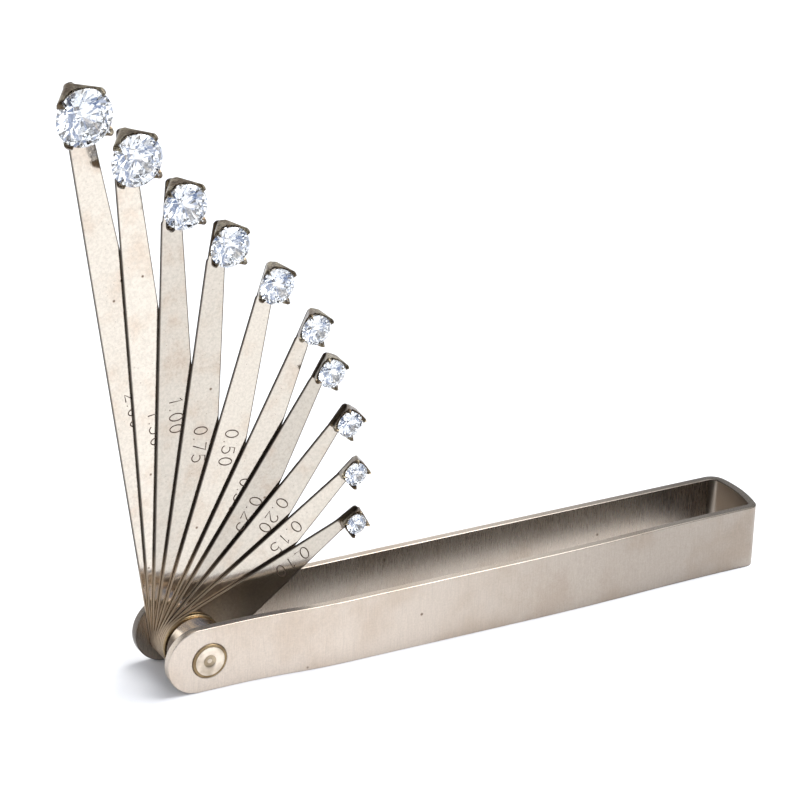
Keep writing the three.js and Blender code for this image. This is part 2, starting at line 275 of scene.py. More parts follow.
class Shader:
    """The node tree of a material or the world, built from short calls.

    A socket or a plain value may feed any input.
    """

    def __init__(self, owner, output="OutputMaterial"):
        owner.use_nodes = True
        self.owner = owner
        self.tree = owner.node_tree
        self.tree.nodes.clear()
        self.output = self.add(output)

    def add(self, kind, inputs=None, **settings):
        """A new node with its settings made and its inputs linked or set."""
        made = self.tree.nodes.new("ShaderNode" + kind)
        for key, value in settings.items():
            setattr(made, key, value)
        for key, value in (inputs or {}).items():
            if isinstance(value, bpy.types.NodeSocket):
                self.tree.links.new(value, made.inputs[key])
            else:
                made.inputs[key].default_value = value
        return made

    def millimetres(self, stretch=(1, 1, 1)):
        """The piece's own coordinates in millimetres, squeezed along each axis by stretch."""
        place = self.add("TexCoord").outputs["Object"]
        scale = [factor / MM for factor in stretch]
        return self.add(
            "VectorMath", {0: place, 1: scale}, operation="MULTIPLY").outputs["Vector"]

    def noise(self, place, scale, detail=3.0, roughness=0.5):
        inputs = {"Vector": place, "Scale": scale, "Detail": detail, "Roughness": roughness}
        return self.add("TexNoise", inputs).outputs["Fac"]

    def math(self, operation, a, b=0.0):
        return self.add("Math", {0: a, 1: b}, operation=operation).outputs[0]

    def between(self, value, low, high, to_low=0.0, to_high=1.0):
        """Value mapped smoothly from low..high to to_low..to_high."""
        inputs = {"Value": value, 1: low, 2: high, 3: to_low, 4: to_high}
        return self.add("MapRange", inputs, interpolation_type="SMOOTHSTEP").outputs["Result"]

    def mix(self, share, first, second, blend="MIX"):
        made = self.add("Mix", data_type="RGBA", blend_type=blend)
        for index, value in ((0, share), (6, first), (7, second)):
            if isinstance(value, bpy.types.NodeSocket):
                self.tree.links.new(value, made.inputs[index])
            elif index == 0:
                made.inputs[index].default_value = value
            else:
                made.inputs[index].default_value = (*value, 1)
        return made.outputs[2]

    def shade(self, colour, amount):
        """A colour made lighter or darker by a grey amount."""
        grey = self.add("CombineColor", {0: amount, 1: amount, 2: amount}).outputs[0]
        return self.mix(1.0, colour, grey, "MULTIPLY")

    def bump(self, height, depth, strength=1.0):
        """Surface normal for a relief this many millimetres deep."""
        inputs = {"Height": height, "Distance": depth * MM, "Strength": strength}
        return self.add("Bump", inputs).outputs["Normal"]

    def surface(self, shader):
        """Ends the tree in this shader, and gives back the material it belongs to."""
        self.tree.links.new(shader, self.output.inputs["Surface"])
        return self.owner

    def metal(self, colour, roughness, normal=None, metallic=1.0):
        if not isinstance(colour, bpy.types.NodeSocket):
            colour = (*colour, 1)
        inputs = {"Base Color": colour, "Roughness": roughness, "Metallic": metallic}
        if normal is not None:
            inputs["Normal"] = normal
        return self.surface(self.add("BsdfPrincipled", inputs).outputs[0])


def material_shader(name):
    return Shader(bpy.data.materials.new(name))


def pits(shader, place, size, share):
    """Small round spots scattered over a share of the cells of a grid."""
    cells = shader.add("TexVoronoi", {"Vector": place, "Scale": 1.0 / size, "Randomness": 1.0})
    chance = shader.add("SeparateColor", {0: cells.outputs["Color"]}).outputs[0]
    chosen = shader.math("LESS_THAN", chance, share)
    spot = shader.between(cells.outputs["Distance"], 0.06, 0.22, 1.0, 0.0)
    return shader.math("MULTIPLY", spot, chosen)


# ---------------------------------------------------------------- materials

CASE_COLOUR = (0.685, 0.60, 0.515)
CASE_STAIN = (0.76, 0.68, 0.60)          # what stains leave of the case's colour
CASE_PIT_COLOUR = (0.17, 0.12, 0.085)

BLADE_COLOUR = (0.74, 0.675, 0.585)
BLADE_TARNISH = (0.68, 0.58, 0.48)
BLADE_PIT_COLOUR = (0.16, 0.11, 0.08)
EDGE_HIGHLIGHT_NEAR_RIVET = (0.42, 0.33, 0.24)     # painted highlight on the blades' edges in the stack
# Painted shade on the blades' edge faces and straight outlines away from the rivet.
EDGE_PAINTED_SHADE = (0.035, 0.026, 0.020)
SCRATCH_ANGLE = 38                       # degrees off the blade's length


def blade_steel(number, opened, polish, eye, tangent):
    """Hand-polished, faintly golden steel: slanting scratches, dark pits and reddish tarnish.

    Painted shade darkens the blade's edge faces and its two straight outlines, which leave the
    round eye at the tangent angle; near the rivet the edge faces carry a painted highlight.
    """
    shader = material_shader(f"blade_steel_{number}")
    place = shader.add(
        "VectorRotate", {"Vector": shader.millimetres(), "Angle": opened}, rotation_type="Y_AXIS",
    ).outputs[0]
    offset = shader.add("VectorMath", {0: place, 1: (17.0 * int(number), 0, 0)}).outputs[0]
    slanted = shader.add(
        "Mapping",
        {"Vector": offset, "Rotation": (0, math.radians(SCRATCH_ANGLE), 0), "Scale": (0.35, 1, 9)},
    ).outputs[0]
    along = shader.add("Mapping", {"Vector": offset, "Scale": (0.25, 1, 7)}).outputs[0]
    scratches = shader.noise(slanted, 1.6, 4.0, 0.65)
    drawn = shader.noise(along, 1.3, 3.0, 0.6)
    blotches = shader.noise(offset, 0.22, 4.0, 0.6)
    fine = shader.noise(offset, 2.6, 5.0, 0.75)

    bright = [polish * channel for channel in BLADE_COLOUR]
    tarnished = [polish * channel for channel in BLADE_TARNISH]
    colour = shader.mix(shader.between(blotches, 0.48, 0.74), bright, tarnished)
    colour = shader.shade(colour, shader.between(fine, 0.35, 0.68, 1.03, 0.84))
    spots = pits(shader, offset, 1.3, 0.05)
    specks = pits(shader, offset, 0.42, 0.10)
    marks = shader.math("MAXIMUM", spots, shader.math("MULTIPLY", specks, 0.6))
    colour = shader.mix(marks, colour, BLADE_PIT_COLOUR)

    # Painted shade on the edge faces and the straight outlines, with a painted highlight near the
    # rivet.
    facing = shader.add("SeparateXYZ", {0: shader.add("TexCoord").outputs["Normal"]}).outputs[1]
    rim = shader.between(shader.math("ABSOLUTE", facing), 0.80, 0.98, 1.0, 0.0)
    x, _, z = shader.add("SeparateXYZ", {0: place}).outputs
    sideways = shader.math("MULTIPLY", shader.math("ABSOLUTE", z), math.sin(tangent))
    towards_edge = shader.math("ADD", shader.math("MULTIPLY", x, math.cos(tangent)), sideways)
    outline = shader.between(towards_edge, eye - 0.22, eye - 0.08, 0.0, 0.75)
    rim = shader.math("MAXIMUM", rim, outline)
    reach = shader.add("VectorMath", {0: place}, operation="LENGTH").outputs["Value"]
    edge = shader.mix(shader.between(reach, 9.0, 15.0), EDGE_HIGHLIGHT_NEAR_RIVET, EDGE_PAINTED_SHADE)
    colour = shader.mix(rim, colour, edge)

    roughness = shader.between(scratches, 0.3, 0.7, 0.06, 0.16)
    roughness = shader.math("MAXIMUM", roughness, shader.math("MULTIPLY", rim, 0.45))
    relief = shader.math("ADD", scratches, shader.math("MULTIPLY", drawn, 0.6))
    return shader.metal(colour, roughness, shader.bump(relief, 0.004, 0.55))


def engraved_steel():
    """Dirt-darkened metal at the bottom of the engraved numbers."""
    shader = material_shader("engraving")
    dirt = shader.noise(shader.millimetres(), 6.0)
    colour = shader.mix(shader.between(dirt, 0.35, 0.65), (0.09, 0.06, 0.045), (0.20, 0.145, 0.10))
    return shader.metal(colour, 0.5, metallic=0.7)


def case_steel(name, near, far, gloss, corner=1.0, fade=(8.0, 82.0), depth=0.5):
    """Satin strip steel brushed across, with painted shade: its tone fades from near to far along
    the case.

    The corner tone is painted shade at the end of the back leg, behind the fan of blades.
    The depth says how strongly the brushing is felt.
    """
    shader = material_shader(name)
    place = shader.millimetres()
    across = shader.millimetres((5.0, 5.0, 0.22))
    brushing = shader.noise(across, 1.7, 5.0, 0.7)
    cloud = shader.noise(place, 0.10, 4.0, 0.6)
    grit = shader.noise(place, 3.4, 4.0, 0.8)

    x, y, _ = shader.add("SeparateXYZ", {0: place}).outputs
    near_colour = [near * channel for channel in CASE_COLOUR]
    far_colour = [far * channel for channel in CASE_COLOUR]
    # Painted shade: the colour fades from the near to the far tone along the case.
    clean = shader.mix(shader.between(x, *fade), near_colour, far_colour)
    stained = shader.mix(1.0, clean, CASE_STAIN, "MULTIPLY")
    colour = shader.mix(shader.between(cloud, 0.42, 0.70, 0.0, 0.45), clean, stained)
    # Painted shade at the end of the back leg, behind the fan of blades.
    at_corner = shader.math(
        "MULTIPLY", shader.between(x, -1.0, 4.0, 1.0, 0.0), shader.between(y, -5.0, -3.0))
    colour = shader.shade(colour, shader.between(at_corner, 0.0, 1.0, 1.0, corner))
    streaks = shader.between(
        shader.math("ADD", brushing, grit), 0.7, 1.3, 1 - 0.28 * depth, 1 + 0.12 * depth)
    colour = shader.shade(colour, streaks)
    colour = shader.mix(pits(shader, place, 1.5, 0.02), colour, CASE_PIT_COLOUR)
    roughness = shader.between(brushing, 0.3, 0.7, gloss - 0.12 * depth, gloss + 0.16 * depth)
    relief = shader.math("ADD", brushing, shader.math("MULTIPLY", grit, 0.5))
    return shader.metal(colour, roughness, shader.bump(relief, 0.006, depth))


def turned_metal(name, colour, dark, roughness):
    """Lathe-turned metal: fine rings about the rivet's axis, dulled in patches."""
    shader = material_shader(name)
    place = shader.millimetres()
    x, y, z = shader.add("SeparateXYZ", {0: place}).outputs
    flat = shader.add("CombineXYZ", {0: x, 1: z}).outputs[0]
    radius = shader.add("VectorMath", {0: flat}, operation="LENGTH").outputs["Value"]
    along = shader.add("CombineXYZ", {0: radius, 1: y}).outputs[0]
    rings = shader.noise(along, 9.0, 2.0)
    dull = shader.noise(place, 0.45, 3.0, 0.5)
    tint = shader.mix(shader.between(dull, 0.35, 0.70, 0.0, 0.7), colour, dark)
    rough = shader.between(dull, 0.3, 0.7, roughness * 0.8, roughness * 1.4)
    return shader.metal(tint, rough, shader.bump(rings, 0.008, 0.6))


def spacer_steel():
    """Polished steel, with a painted highlight on top and painted shade lower down."""
    shader = material_shader("spacer_steel")
    place = shader.millimetres()
    height = shader.add("SeparateXYZ", {0: place}).outputs[2]
    patchiness = shader.noise(place, 0.9, 4.0, 0.6)
    level = shader.math("ADD", height, patchiness)
    # Painted shade below, painted highlight on top.
    colour = shader.mix(shader.between(level, 2.3, 3.9), (0.10, 0.075, 0.055), (0.95, 0.81, 0.66))
    return shader.metal(colour, shader.between(patchiness, 0.3, 0.7, 0.14, 0.26))


def setting_steel():
    """Sheet metal browned by soldering, olive to dark brown, brighter where it was filed."""
    shader = material_shader("setting_steel")
    place = shader.millimetres()
    heat = shader.noise(place, 0.42, 4.0, 0.6)
    file_marks = shader.noise(shader.millimetres((1.0, 5.0, 5.0)), 1.6, 4.0, 0.7)
    soot = shader.noise(place, 2.2, 5.0, 0.7)
    colour = shader.mix(shader.between(heat, 0.42, 0.60), (0.11, 0.078, 0.048), (0.25, 0.215, 0.155))
    colour = shader.mix(shader.between(soot, 0.48, 0.66, 0.0, 0.9), colour, (0.035, 0.026, 0.02))
    roughness = shader.between(file_marks, 0.3, 0.7, 0.20, 0.36)
    return shader.metal(colour, roughness, shader.bump(file_marks, 0.012, 0.6))


def bright_inside():
    """The settings' inner faces, clean but for dark patches: the stones show them."""
    shader = material_shader("setting_inside")
    wear = shader.noise(shader.millimetres(), 1.4, 3.0)
    colour = shader.mix(shader.between(wear, 0.46, 0.58), (0.86, 0.82, 0.76), (0.14, 0.12, 0.11))
    return shader.metal(colour, 0.22)


def clear_stone():
    """Cubic zirconia: clear and highly refractive, with a trace of cold tint."""
    shader = material_shader("clear_stone")
    haze = shader.noise(shader.millimetres(), 0.8, 2.0)
    tint = shader.mix(haze, (0.97, 0.985, 1.0), (1.0, 1.0, 1.0))
    return shader.surface(
        shader.add("BsdfGlass", {"Color": tint, "Roughness": 0.0, "IOR": 2.15}).outputs[0])


# ---------------------------------------------------------------- case

def walk_strip(start, runs):
    """Stations along the strip's outer face: distance gone, place and heading.

    A run is its length, the angle it turns through, and the number of steps it takes.
    """
    stations = [{"gone": 0.0, "x": start, "y": 0.0, "heading": 0.0}]
    for length, turn, steps in runs:
        for _ in range(steps):
            last = stations[-1]
            along = last["heading"] - turn / steps / 2
            step = length / steps
            stations.append({
                "gone": last["gone"] + step,
                "x": last["x"] + step * math.cos(along),
                "y": last["y"] + step * math.sin(along),
                "heading": last["heading"] - turn / steps,
            })
    return stations


def bend(radius, degrees, steps):
    """A run round an arc, as long as the chords that stand for it."""
    turn = math.radians(degrees)
    chord = 2 * radius * math.sin(turn / steps / 2)
    return (chord * steps, turn, steps)


def side_step(length, sideways, steps=8):
    """Two opposite bends that carry the strip sideways over a given length."""
    turn = 2 * math.atan(sideways / length)
    radius = length / (2 * math.sin(turn))
    there = bend(radius, math.degrees(turn), steps)
    return [(there[0], -turn, steps), (there[0], turn, steps)]


def straight(length):
    return (length, 0.0, 1)


def case_stations(leg_start):
    runs = [
        straight(BACK_LEG_LENGTH),
        bend(BACK_BEND_RADIUS, TIGHT_BEND, 20),
        bend(CLOSED_END_RADIUS, 180 - 2 * TIGHT_BEND, 10),
        bend(FRONT_BEND_RADIUS, TIGHT_BEND, 18),
        *side_step(BOW_LEAVING, FRONT_LEG_BOW),
        straight(BOW_STRAIGHT),
        *reversed(side_step(BOW_RETURNING, FRONT_LEG_BOW)),
        straight(FRONT_LEG_TAIL),
    ]
    return walk_strip(leg_start, runs)


def strip_blank(length, half, bore, bore_inset, rise):
    """The flat strip before bending, with round ends and both rivet holes.

    Its middle line runs at the rise, measured from the rivet's axis.
    """
    ends = 40
    outline = arc(half, rise, half, half, 90, 270, ends)
    outline += arc(length - half, rise, half, half, -90, 90, ends)
    holes = [circle(bore, 64, x) for x in (bore_inset, length - bore_inset)]
    return plate([outline, *holes], 0.0, -STRIP_THICKNESS)


def bend_blank(bm, stations):
    """Cuts the blank at every station and lays each stretch on the bent path."""
    for station in stations[1:-1]:
        everything = bm.verts[:] + bm.edges[:] + bm.faces[:]
        bmesh.ops.bisect_plane(
            bm, geom=everything, dist=1e-6, plane_co=(station["gone"], 0, 0), plane_no=(1, 0, 0))
    for vertex in bm.verts:
        gone, depth, height = vertex.co
        after = 1
        while stations[after]["gone"] < gone - 1e-4:
            after += 1
        first, second = stations[after - 1], stations[after]
        share = (gone - first["gone"]) / (second["gone"] - first["gone"])
        place = []
        for station in (first, second):
            heading = station["heading"]
            inward = Vector((math.sin(heading), -math.cos(heading)))
            place.append(Vector((station["x"], station["y"])) - depth * inward)
        x, y = place[0].lerp(place[1], share)
        vertex.co = (x, y, height)


def mark_blank(bm):
    """On the flat blank, picks out its inner face and the sides left by the rounded edges."""
    for face in bm.faces:
        depth = -face.calc_center_median().y
        if face.material_index == WORN_EDGE or depth < STRIP_EDGE / 2:
            continue
        if depth < STRIP_THICKNESS - STRIP_EDGE / 2:
            face.material_index = WORN_EDGE
        else:
            face.material_index = INSIDE_BACK


def mark_bent_strip(bm):
    """On the bent strip, parts the inner face between the back leg, front leg and closed end."""
    for face in bm.faces:
        if face.material_index != INSIDE_BACK:
            continue
        middle = face.calc_center_median()
        if middle.x > CLOSED_END_START:
            face.material_index = INSIDE_END
        elif middle.y < -FRONT_LEG_START:
            face.material_index = INSIDE_FRONT


def build_case(materials):
    """Cut flat, edges rounded, then bent, as the real case is made."""
    low, high = [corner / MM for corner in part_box("case")]
    half = (high.z - low.z) / 2
    rise = (high.z + low.z) / 2
    leg_start = LEG_END_CENTRE - half
    stations = case_stations(leg_start)
    trimmed = leg_start - stations[-1]["x"]
    length = stations[-1]["gone"] - trimmed
    rivet_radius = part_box("rivet")[1].x / MM
    blank = strip_blank(length, half, rivet_radius + BORE_CLEARANCE, -leg_start, rise)
    case = object_from(blank, "case_bent_strip", materials)
    round_edges(case, STRIP_EDGE, 4, material=WORN_EDGE)
    bake(case)

    bm = bmesh.new()
    bm.from_mesh(case.data)
    bm.transform(Matrix.Scale(1 / MM, 4))
    mark_blank(bm)
    bend_blank(bm, stations)
    mark_bent_strip(bm)
    bm.transform(Matrix.Scale(MM, 4))
    bm.to_mesh(case.data)
    bm.free()
    even_shading(case)
    finish_piece(case, "case", "case")


# ---------------------------------------------------------------- rivet and stack fittings

def rounded_ring(bore, radius, front, back, edge):
    """Profile of a plain ring whose outer corners are quarter rounds."""
    quarter = [math.radians(15 * i) for i in range(7)]
    nose = [
        (radius - edge + edge * math.sin(a), front + edge - edge * math.cos(a)) for a in quarter
    ]
    tail = [
        (radius - edge + edge * math.cos(a), back - edge + edge * math.sin(a)) for a in quarter
    ]
    return [(bore, front), *nose, *tail, (bore, back)]


def rivet_profile(head, front):
    """Half the rivet's section, from the middle of its dimple round to the middle of its back."""
    inside_front = front + HEAD_PROUD + STRIP_THICKNESS
    dimple = [
        (0, front + 0.45 * DIMPLE_DEPTH),
        (0.7 * PIP_RADIUS, front + 0.50 * DIMPLE_DEPTH),
        (PIP_RADIUS, front + 0.75 * DIMPLE_DEPTH),
        (PIP_RADIUS + 0.14, front + DIMPLE_DEPTH),
        (DIMPLE_RADIUS - 0.22, front + 0.95 * DIMPLE_DEPTH),
        (DIMPLE_RADIUS - 0.06, front + 0.35 * DIMPLE_DEPTH),
        (DIMPLE_RADIUS + 0.04, front + 0.03),
        (DIMPLE_RADIUS + 0.16, front),
    ]
    border = [
        (head - 0.46, front),
        (head - 0.40, front + 0.02),
        (head - 0.36, front + 0.10),
        (head - 0.24, front + 0.12),
        (head - 0.14, front + 0.06),
        (head - 0.05, front + 0.09),
        (head, front + HEAD_PROUD),
    ]
    shank = [
        (head, inside_front),
        (SHANK_RADIUS, inside_front),
        (SHANK_RADIUS, -STRIP_THICKNESS),
        (head, -STRIP_THICKNESS),
    ]
    back = [(head, -0.12), (head - 0.04, -0.04), (head - 0.12, 0), (0, 0)]
    return dimple + border + shank + back


def build_rivet(materials):
    low, high = [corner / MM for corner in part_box("rivet")]
    head = high.x
    front = low.y
    bm = turned(rivet_profile(head, front))
    for face in bm.faces:
        middle = face.calc_center_median()
        radius = math.hypot(middle.x, middle.z)
        depth = middle.y - front
        if radius > head - GROOVE_WIDTH and depth < 0.95 * HEAD_PROUD:
            face.material_index = GROOVE
        elif 0.9 * PIP_RADIUS < radius < 0.95 * DIMPLE_RADIUS and depth < DIMPLE_DEPTH + 0.01:
            face.material_index = DIMPLE
    rivet = object_from(bm, "rivet_turned", materials)
    even_shading(rivet, 60)
    finish_piece(rivet, "rivet", "case")


def build_ring(node, edge, material):
    """The washer or the spacer: a plain ring threaded on the rivet."""
    low, high = [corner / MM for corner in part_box(node)]
    bore = SHANK_RADIUS + BORE_CLEARANCE
    bm = turned(rounded_ring(bore, high.x, low.y, high.y, edge))
    ring = object_from(bm, f"{node}_turned", [material])
    even_shading(ring, 60)
    finish_piece(ring, node, "case")


# ---------------------------------------------------------------- blades

# Single-stroke figures on a body 0.6 wide and 1 high.
FIGURES = {
    "0": arc(0.30, 0.50, 0.27, 0.50, 0, 360, 28),
    "1": [(0.14, 0.80), (0.32, 1.00), (0.32, 0.00)],
    "2": arc(0.30, 0.70, 0.27, 0.30, 170, -40) + [(0.02, 0.00), (0.60, 0.00)],
    "3": arc(0.27, 0.76, 0.25, 0.24, 150, -80) + arc(0.27, 0.27, 0.30, 0.27, 85, -150),
    "5": [(0.54, 1.00), (0.13, 1.00), (0.08, 0.56)] + arc(0.26, 0.32, 0.30, 0.32, 125, -150),
    "7": [(0.02, 1.00), (0.58, 1.00), (0.20, 0.00)],
    ".": [(0.03, 0.00), (0.03, 0.07)],
}
FIGURE_WIDTH = 0.6
POINT_WIDTH = 0.06


def engraving_cutter(text, start, front, materials):
    """Round-nosed cutter paths for a number that reads from the stone end to the rivet."""
    curve = bpy.data.curves.new("cutter", "CURVE")
    curve.dimensions = "3D"
    curve.bevel_depth = ENGRAVING_RADIUS * MM
    curve.bevel_resolution = 1
    curve.use_fill_caps = True
    gone = 0.0
    for figure in text:
        stroke = FIGURES[figure]
        closed = figure == "0"
        path = stroke[:-1] if closed else stroke
        spline = curve.splines.new("POLY")
        spline.points.add(len(path) - 1)    # a new spline has one point already
        spline.use_cyclic_u = closed
        for point, (right, up) in zip(spline.points, path):
            x = start - gone - right * GLYPH_HEIGHT
            z = -(up - 0.5) * GLYPH_HEIGHT
            point.co = (x * MM, front * MM, z * MM, 1)
        gone += (POINT_WIDTH if figure == "." else FIGURE_WIDTH) * GLYPH_HEIGHT + GLYPH_GAP
    holder = bpy.data.objects.new("cutter", curve)
    bpy.context.scene.collection.objects.link(holder)
    depsgraph = bpy.context.evaluated_depsgraph_get()
    mesh = bpy.data.meshes.new_from_object(holder.evaluated_get(depsgraph))
    bpy.data.objects.remove(holder)
    mesh.materials.clear()
    for material in materials:
        mesh.materials.append(material)
    for polygon in mesh.polygons:
        polygon.material_index = ENGRAVED
    cutter = bpy.data.objects.new("cutter", mesh)
    bpy.context.scene.collection.objects.link(cutter)
    return cutter


def engrave(blade, cutter):
    """Cuts the numbers, and removes the cutter."""
    cut = blade.modifiers.new("engraving", "BOOLEAN")
    cut.operation = "DIFFERENCE"
    cut.solver = "EXACT"
    cut.use_self = True
    cut.object = cutter
    bake(blade)
    settle_face_order(blade)
    bpy.data.objects.remove(cutter)


def setting_size(name, radius):
    """One of the setting's lengths, for a stone of this radius."""
    base, share = SETTING[name]
    return base + share * radius


def blade_taper(eye, reach, radius):
    """Where a blade's taper ends, half its width there, and where its edges leave the eye."""
    start = reach - setting_size("foot_near", radius) - SHOULDER_GAP - SHOULDER_LENGTH
    wide = setting_size("blade_half", radius)
    tangent = math.atan2(wide, start) + math.acos(eye / math.hypot(start, wide))
    return start, wide, tangent


def blade_outline(eye, tip, reach, radius):
    """Round eye, straight taper, then a shoulder down to the tongue under the setting."""
    start, wide, tangent = blade_taper(eye, reach, radius)
    narrow = setting_size("half_near", radius) - TONGUE_INSET
    end = setting_size("half_far", radius) - TONGUE_INSET
    degrees = math.degrees(tangent)
    rounding = min(0.8 * end, 0.6)
    side = arc(start, narrow, SHOULDER_LENGTH, wide - narrow, 90, 0, 6)
    side += arc(tip - rounding, end - rounding, rounding, rounding, 90, 0, 6)
    outline = arc(0, 0, eye, eye, degrees, 360 - degrees, 72)
    outline += [(x, -z) for x, z in side]
    outline += side[::-1]
    return outline


def build_blade(number, opened, reach, radius, materials):
    mark = MARKS[number]
    low, high = local_box(f"blade_{number}", opened)
    eye = high.z
    loops = [blade_outline(eye, high.x, reach, radius), circle(SHANK_RADIUS + BORE_CLEARANCE, 64)]
    if number in VENTED_ARMS:
        vent = reach - setting_size("foot_near", radius) - VENT_INSET
        loops.append(circle(VENT_RADIUS, 32, vent))
    blade = object_from(plate(loops, low.y, high.y), f"blade_{number}_engraved", materials)
    round_edges(blade, BLADE_EDGE, 2)
    bake(blade)
    engrave(blade, engraving_cutter(mark["text"], mark["start"], low.y, materials))
    even_shading(blade)
    finish_piece(blade, f"blade_{number}", f"arm_{number}", opened)


# ---------------------------------------------------------------- settings

# Heights in this part are measured from the front of the blade towards the stone's table,
# and girdle is the height of the stone's girdle.

def rounded_loop(near, far, half_near, half_far, corner, per_side=14, per_corner=8):
    """Points round a four-sided section, each with its station.

    The station runs from -1 to 1 along a side and from 1 up to 2 in the middle of a corner.
    """
    centres = (
        (far - corner, half_far - corner, 0),
        (-near + corner, half_near - corner, 90),
        (-near + corner, -half_near + corner, 180),
        (far - corner, -half_far + corner, 270),
    )
    points = []
    for index, (x, z, start) in enumerate(centres):
        turn = arc(x, z, corner, corner, start, start + 90, per_corner)
        points += [
            (point, 2 - abs(2 * step / per_corner - 1)) for step, point in enumerate(turn)
        ]
        next_x, next_z, _ = centres[(index + 1) % 4]
        following = arc(next_x, next_z, corner, corner, start + 90, start + 90, 1)[0]
        for step in range(1, per_side):
            share = step / per_side
            place = Vector(turn[-1]).lerp(Vector(following), share)
            points.append((tuple(place), 2 * share - 1))
    return points


def setting_section(height, girdle, radius, inset):
    """The setting's cross-section this far in front of the blade, shrunk by an inset."""
    front = setting_size("front", radius)
    if height <= girdle:
        share = height / girdle
        feet = [
            setting_size(name, radius) for name in ("foot_near", "foot_far", "half_near", "half_far")
        ]
        near, far, half_near, half_far = [foot * (1 - share) + front * share for foot in feet]
    else:
        share = (height - girdle) / setting_size("claw", radius)
        half = front + (setting_size("tip", radius) - front) * share ** 1.6
        near = far = half_near = half_far = half
    corner = min(setting_size("corner", radius), 0.8 * half_far)
    rounding = max(corner - inset, INNER_ROUNDING * corner)
    return rounded_loop(near - inset, far - inset, half_near - inset, half_far - inset, rounding)


def claw_inset(height, girdle, radius):
    """How thick the corners are: sheet metal at the foot, claws that close over the girdle."""
    corner = setting_size("corner", radius)

    def inset_to(reach, half):
        """What brings the inner corner of a square to this distance from the stone's axis."""
        return half - (reach + CORNER_LOSS * corner) / math.sqrt(2)

    at_girdle = inset_to(radius + STONE_CLEARANCE, setting_size("front", radius))
    at_tip = inset_to(setting_size("claw_inside", radius), setting_size("tip", radius))
    if height <= girdle:
        return SETTING_WALL + (at_girdle - SETTING_WALL) * (height / girdle) ** 2
    return at_girdle + (at_tip - at_girdle) * (height - girdle) / setting_size("claw", radius)


def rim_height(station, girdle, radius):
    """The rim peaks in a claw at every corner and dips in a scallop in every side."""
    bottom = girdle - setting_size("scallop_depth", radius)
    shoulder = girdle - CLAW_SHOULDER * setting_size("claw", radius)
    across = abs(station) / SCALLOP_SPAN
    if across < 1:
        return shoulder - (shoulder - bottom) * math.sqrt(1 - across * across)
    top = girdle + setting_size("claw", radius)
    climb = (abs(station) - SCALLOP_SPAN) / (2 - SCALLOP_SPAN)
    return shoulder + (top - shoulder) * math.sin(climb * math.pi / 2)


def setting_shell(girdle, radius, rows, inner):
    """Columns of points from the foot of the wall to its rim, on its outer or inner face."""
    sections = {}
    columns = []
    for column, (_, station) in enumerate(setting_section(0, girdle, radius, 0)):
        rim = rim_height(station, girdle, radius)
        cornerness = min(abs(station), 1.0) ** 4         # only the corners are thick
        line = []
        for row in range(rows + 1):
            height = rim * (1 - (1 - row / rows) ** 1.4)    # the rows crowd towards the rim
            key = round(height, 6)
            if key not in sections:
                insets = (SETTING_WALL, claw_inset(height, girdle, radius)) if inner else (0, 0)
                sections[key] = [
                    setting_section(height, girdle, radius, inset) for inset in insets
                ]
            side, corner = [Vector(section[column][0]) for section in sections[key]]
            x, z = side.lerp(corner, cornerness)
            line.append((x, height, z))
        columns.append(line)
    return columns


def build_setting(number, opened, place, radius, girdle, front, materials):
    """An open box of sheet metal that flares to four claws round the stone."""
    rows = 16
    bm = bmesh.new()
    shells = []
    for inner in (False, True):
        shells.append([
            [bm.verts.new((place.x + x, front - height, place.z + z)) for x, height, z in line]
            for line in setting_shell(girdle, radius, rows, inner)
        ])
    outer, inner = shells
    for i in range(len(outer)):
        for row in range(rows):
            for shell in (outer, inner):
                face = bm.faces.new((
                    shell[i - 1][row], shell[i][row], shell[i][row + 1], shell[i - 1][row + 1]))
                face.material_index = SHEET_INSIDE if shell is inner else 0
        for row in (0, rows):
            bm.faces.new((outer[i - 1][row], inner[i - 1][row], inner[i][row], outer[i][row]))
    setting = object_from(bm, f"setting_{number}_claws", materials)
    round_edges(setting, CLAW_EDGE, 2, material=0)
    bake(setting)
    even_shading(setting, 60)
    finish_piece(setting, f"setting_{number}", f"arm_{number}", opened)


# ---------------------------------------------------------------- stones

def facet_planes(radius):
    """A point and a direction for every facet of a round brilliant, table towards -Y.

    Mains stand every eighth of a turn.  Two halves, above and below the girdle, lie between
    one main and the next, and they meet halfway.
    """
    eighth = 45
    half = eighth / 2
    girdle = CUT["girdle"] * radius / 2
    crown = CUT["crown"] * radius
    pavilion = CUT["pavilion"] * radius
    flat = math.cos(math.radians(half))
    star = crown * (1 - CUT["star"] * flat) / (1 - CUT["table"])
    lower = pavilion * (1 - CUT["lower"] * flat)
    culet = Vector((0, girdle + pavilion, 0))

    def corner(share, y, azimuth):
        angle = math.radians(azimuth)
        return Vector((share * radius * math.cos(angle), y, share * radius * math.sin(angle)))

    def table_corner(azimuth):
        return corner(CUT["table"], -girdle - crown, azimuth)

    def star_corner(azimuth):
        return corner(CUT["star"], -girdle - star, azimuth)

    def plane(a, b, c):
        normal = (b - a).cross(c - a).normalized()
        return a, normal if normal.dot(a) > 0 else -normal

    planes = [(Vector((0, -girdle - crown, 0)), Vector((0, -1, 0)))]
    for main in range(0, 360, eighth):
        angle = math.radians(main)
        along = Vector((-math.sin(angle), 0, math.cos(angle)))
        above = corner(1, -girdle, main)
        below = corner(1, girdle, main)
        planes.append(plane(above, table_corner(main), above + along))
        planes.append(plane(below, culet, below + along))
        planes.append(
            plane(table_corner(main), table_corner(main + eighth), star_corner(main + half)))
    for index in range(16):
        start = half * index
        end = start + half
        middle = end if index % 2 == 0 else start
        planes.append(plane(star_corner(middle), corner(1, -girdle, start), corner(1, -girdle, end)))
        lower_corner = corner(CUT["lower"], girdle + lower, middle)
        planes.append(plane(lower_corner, corner(1, girdle, start), corner(1, girdle, end)))
    return planes


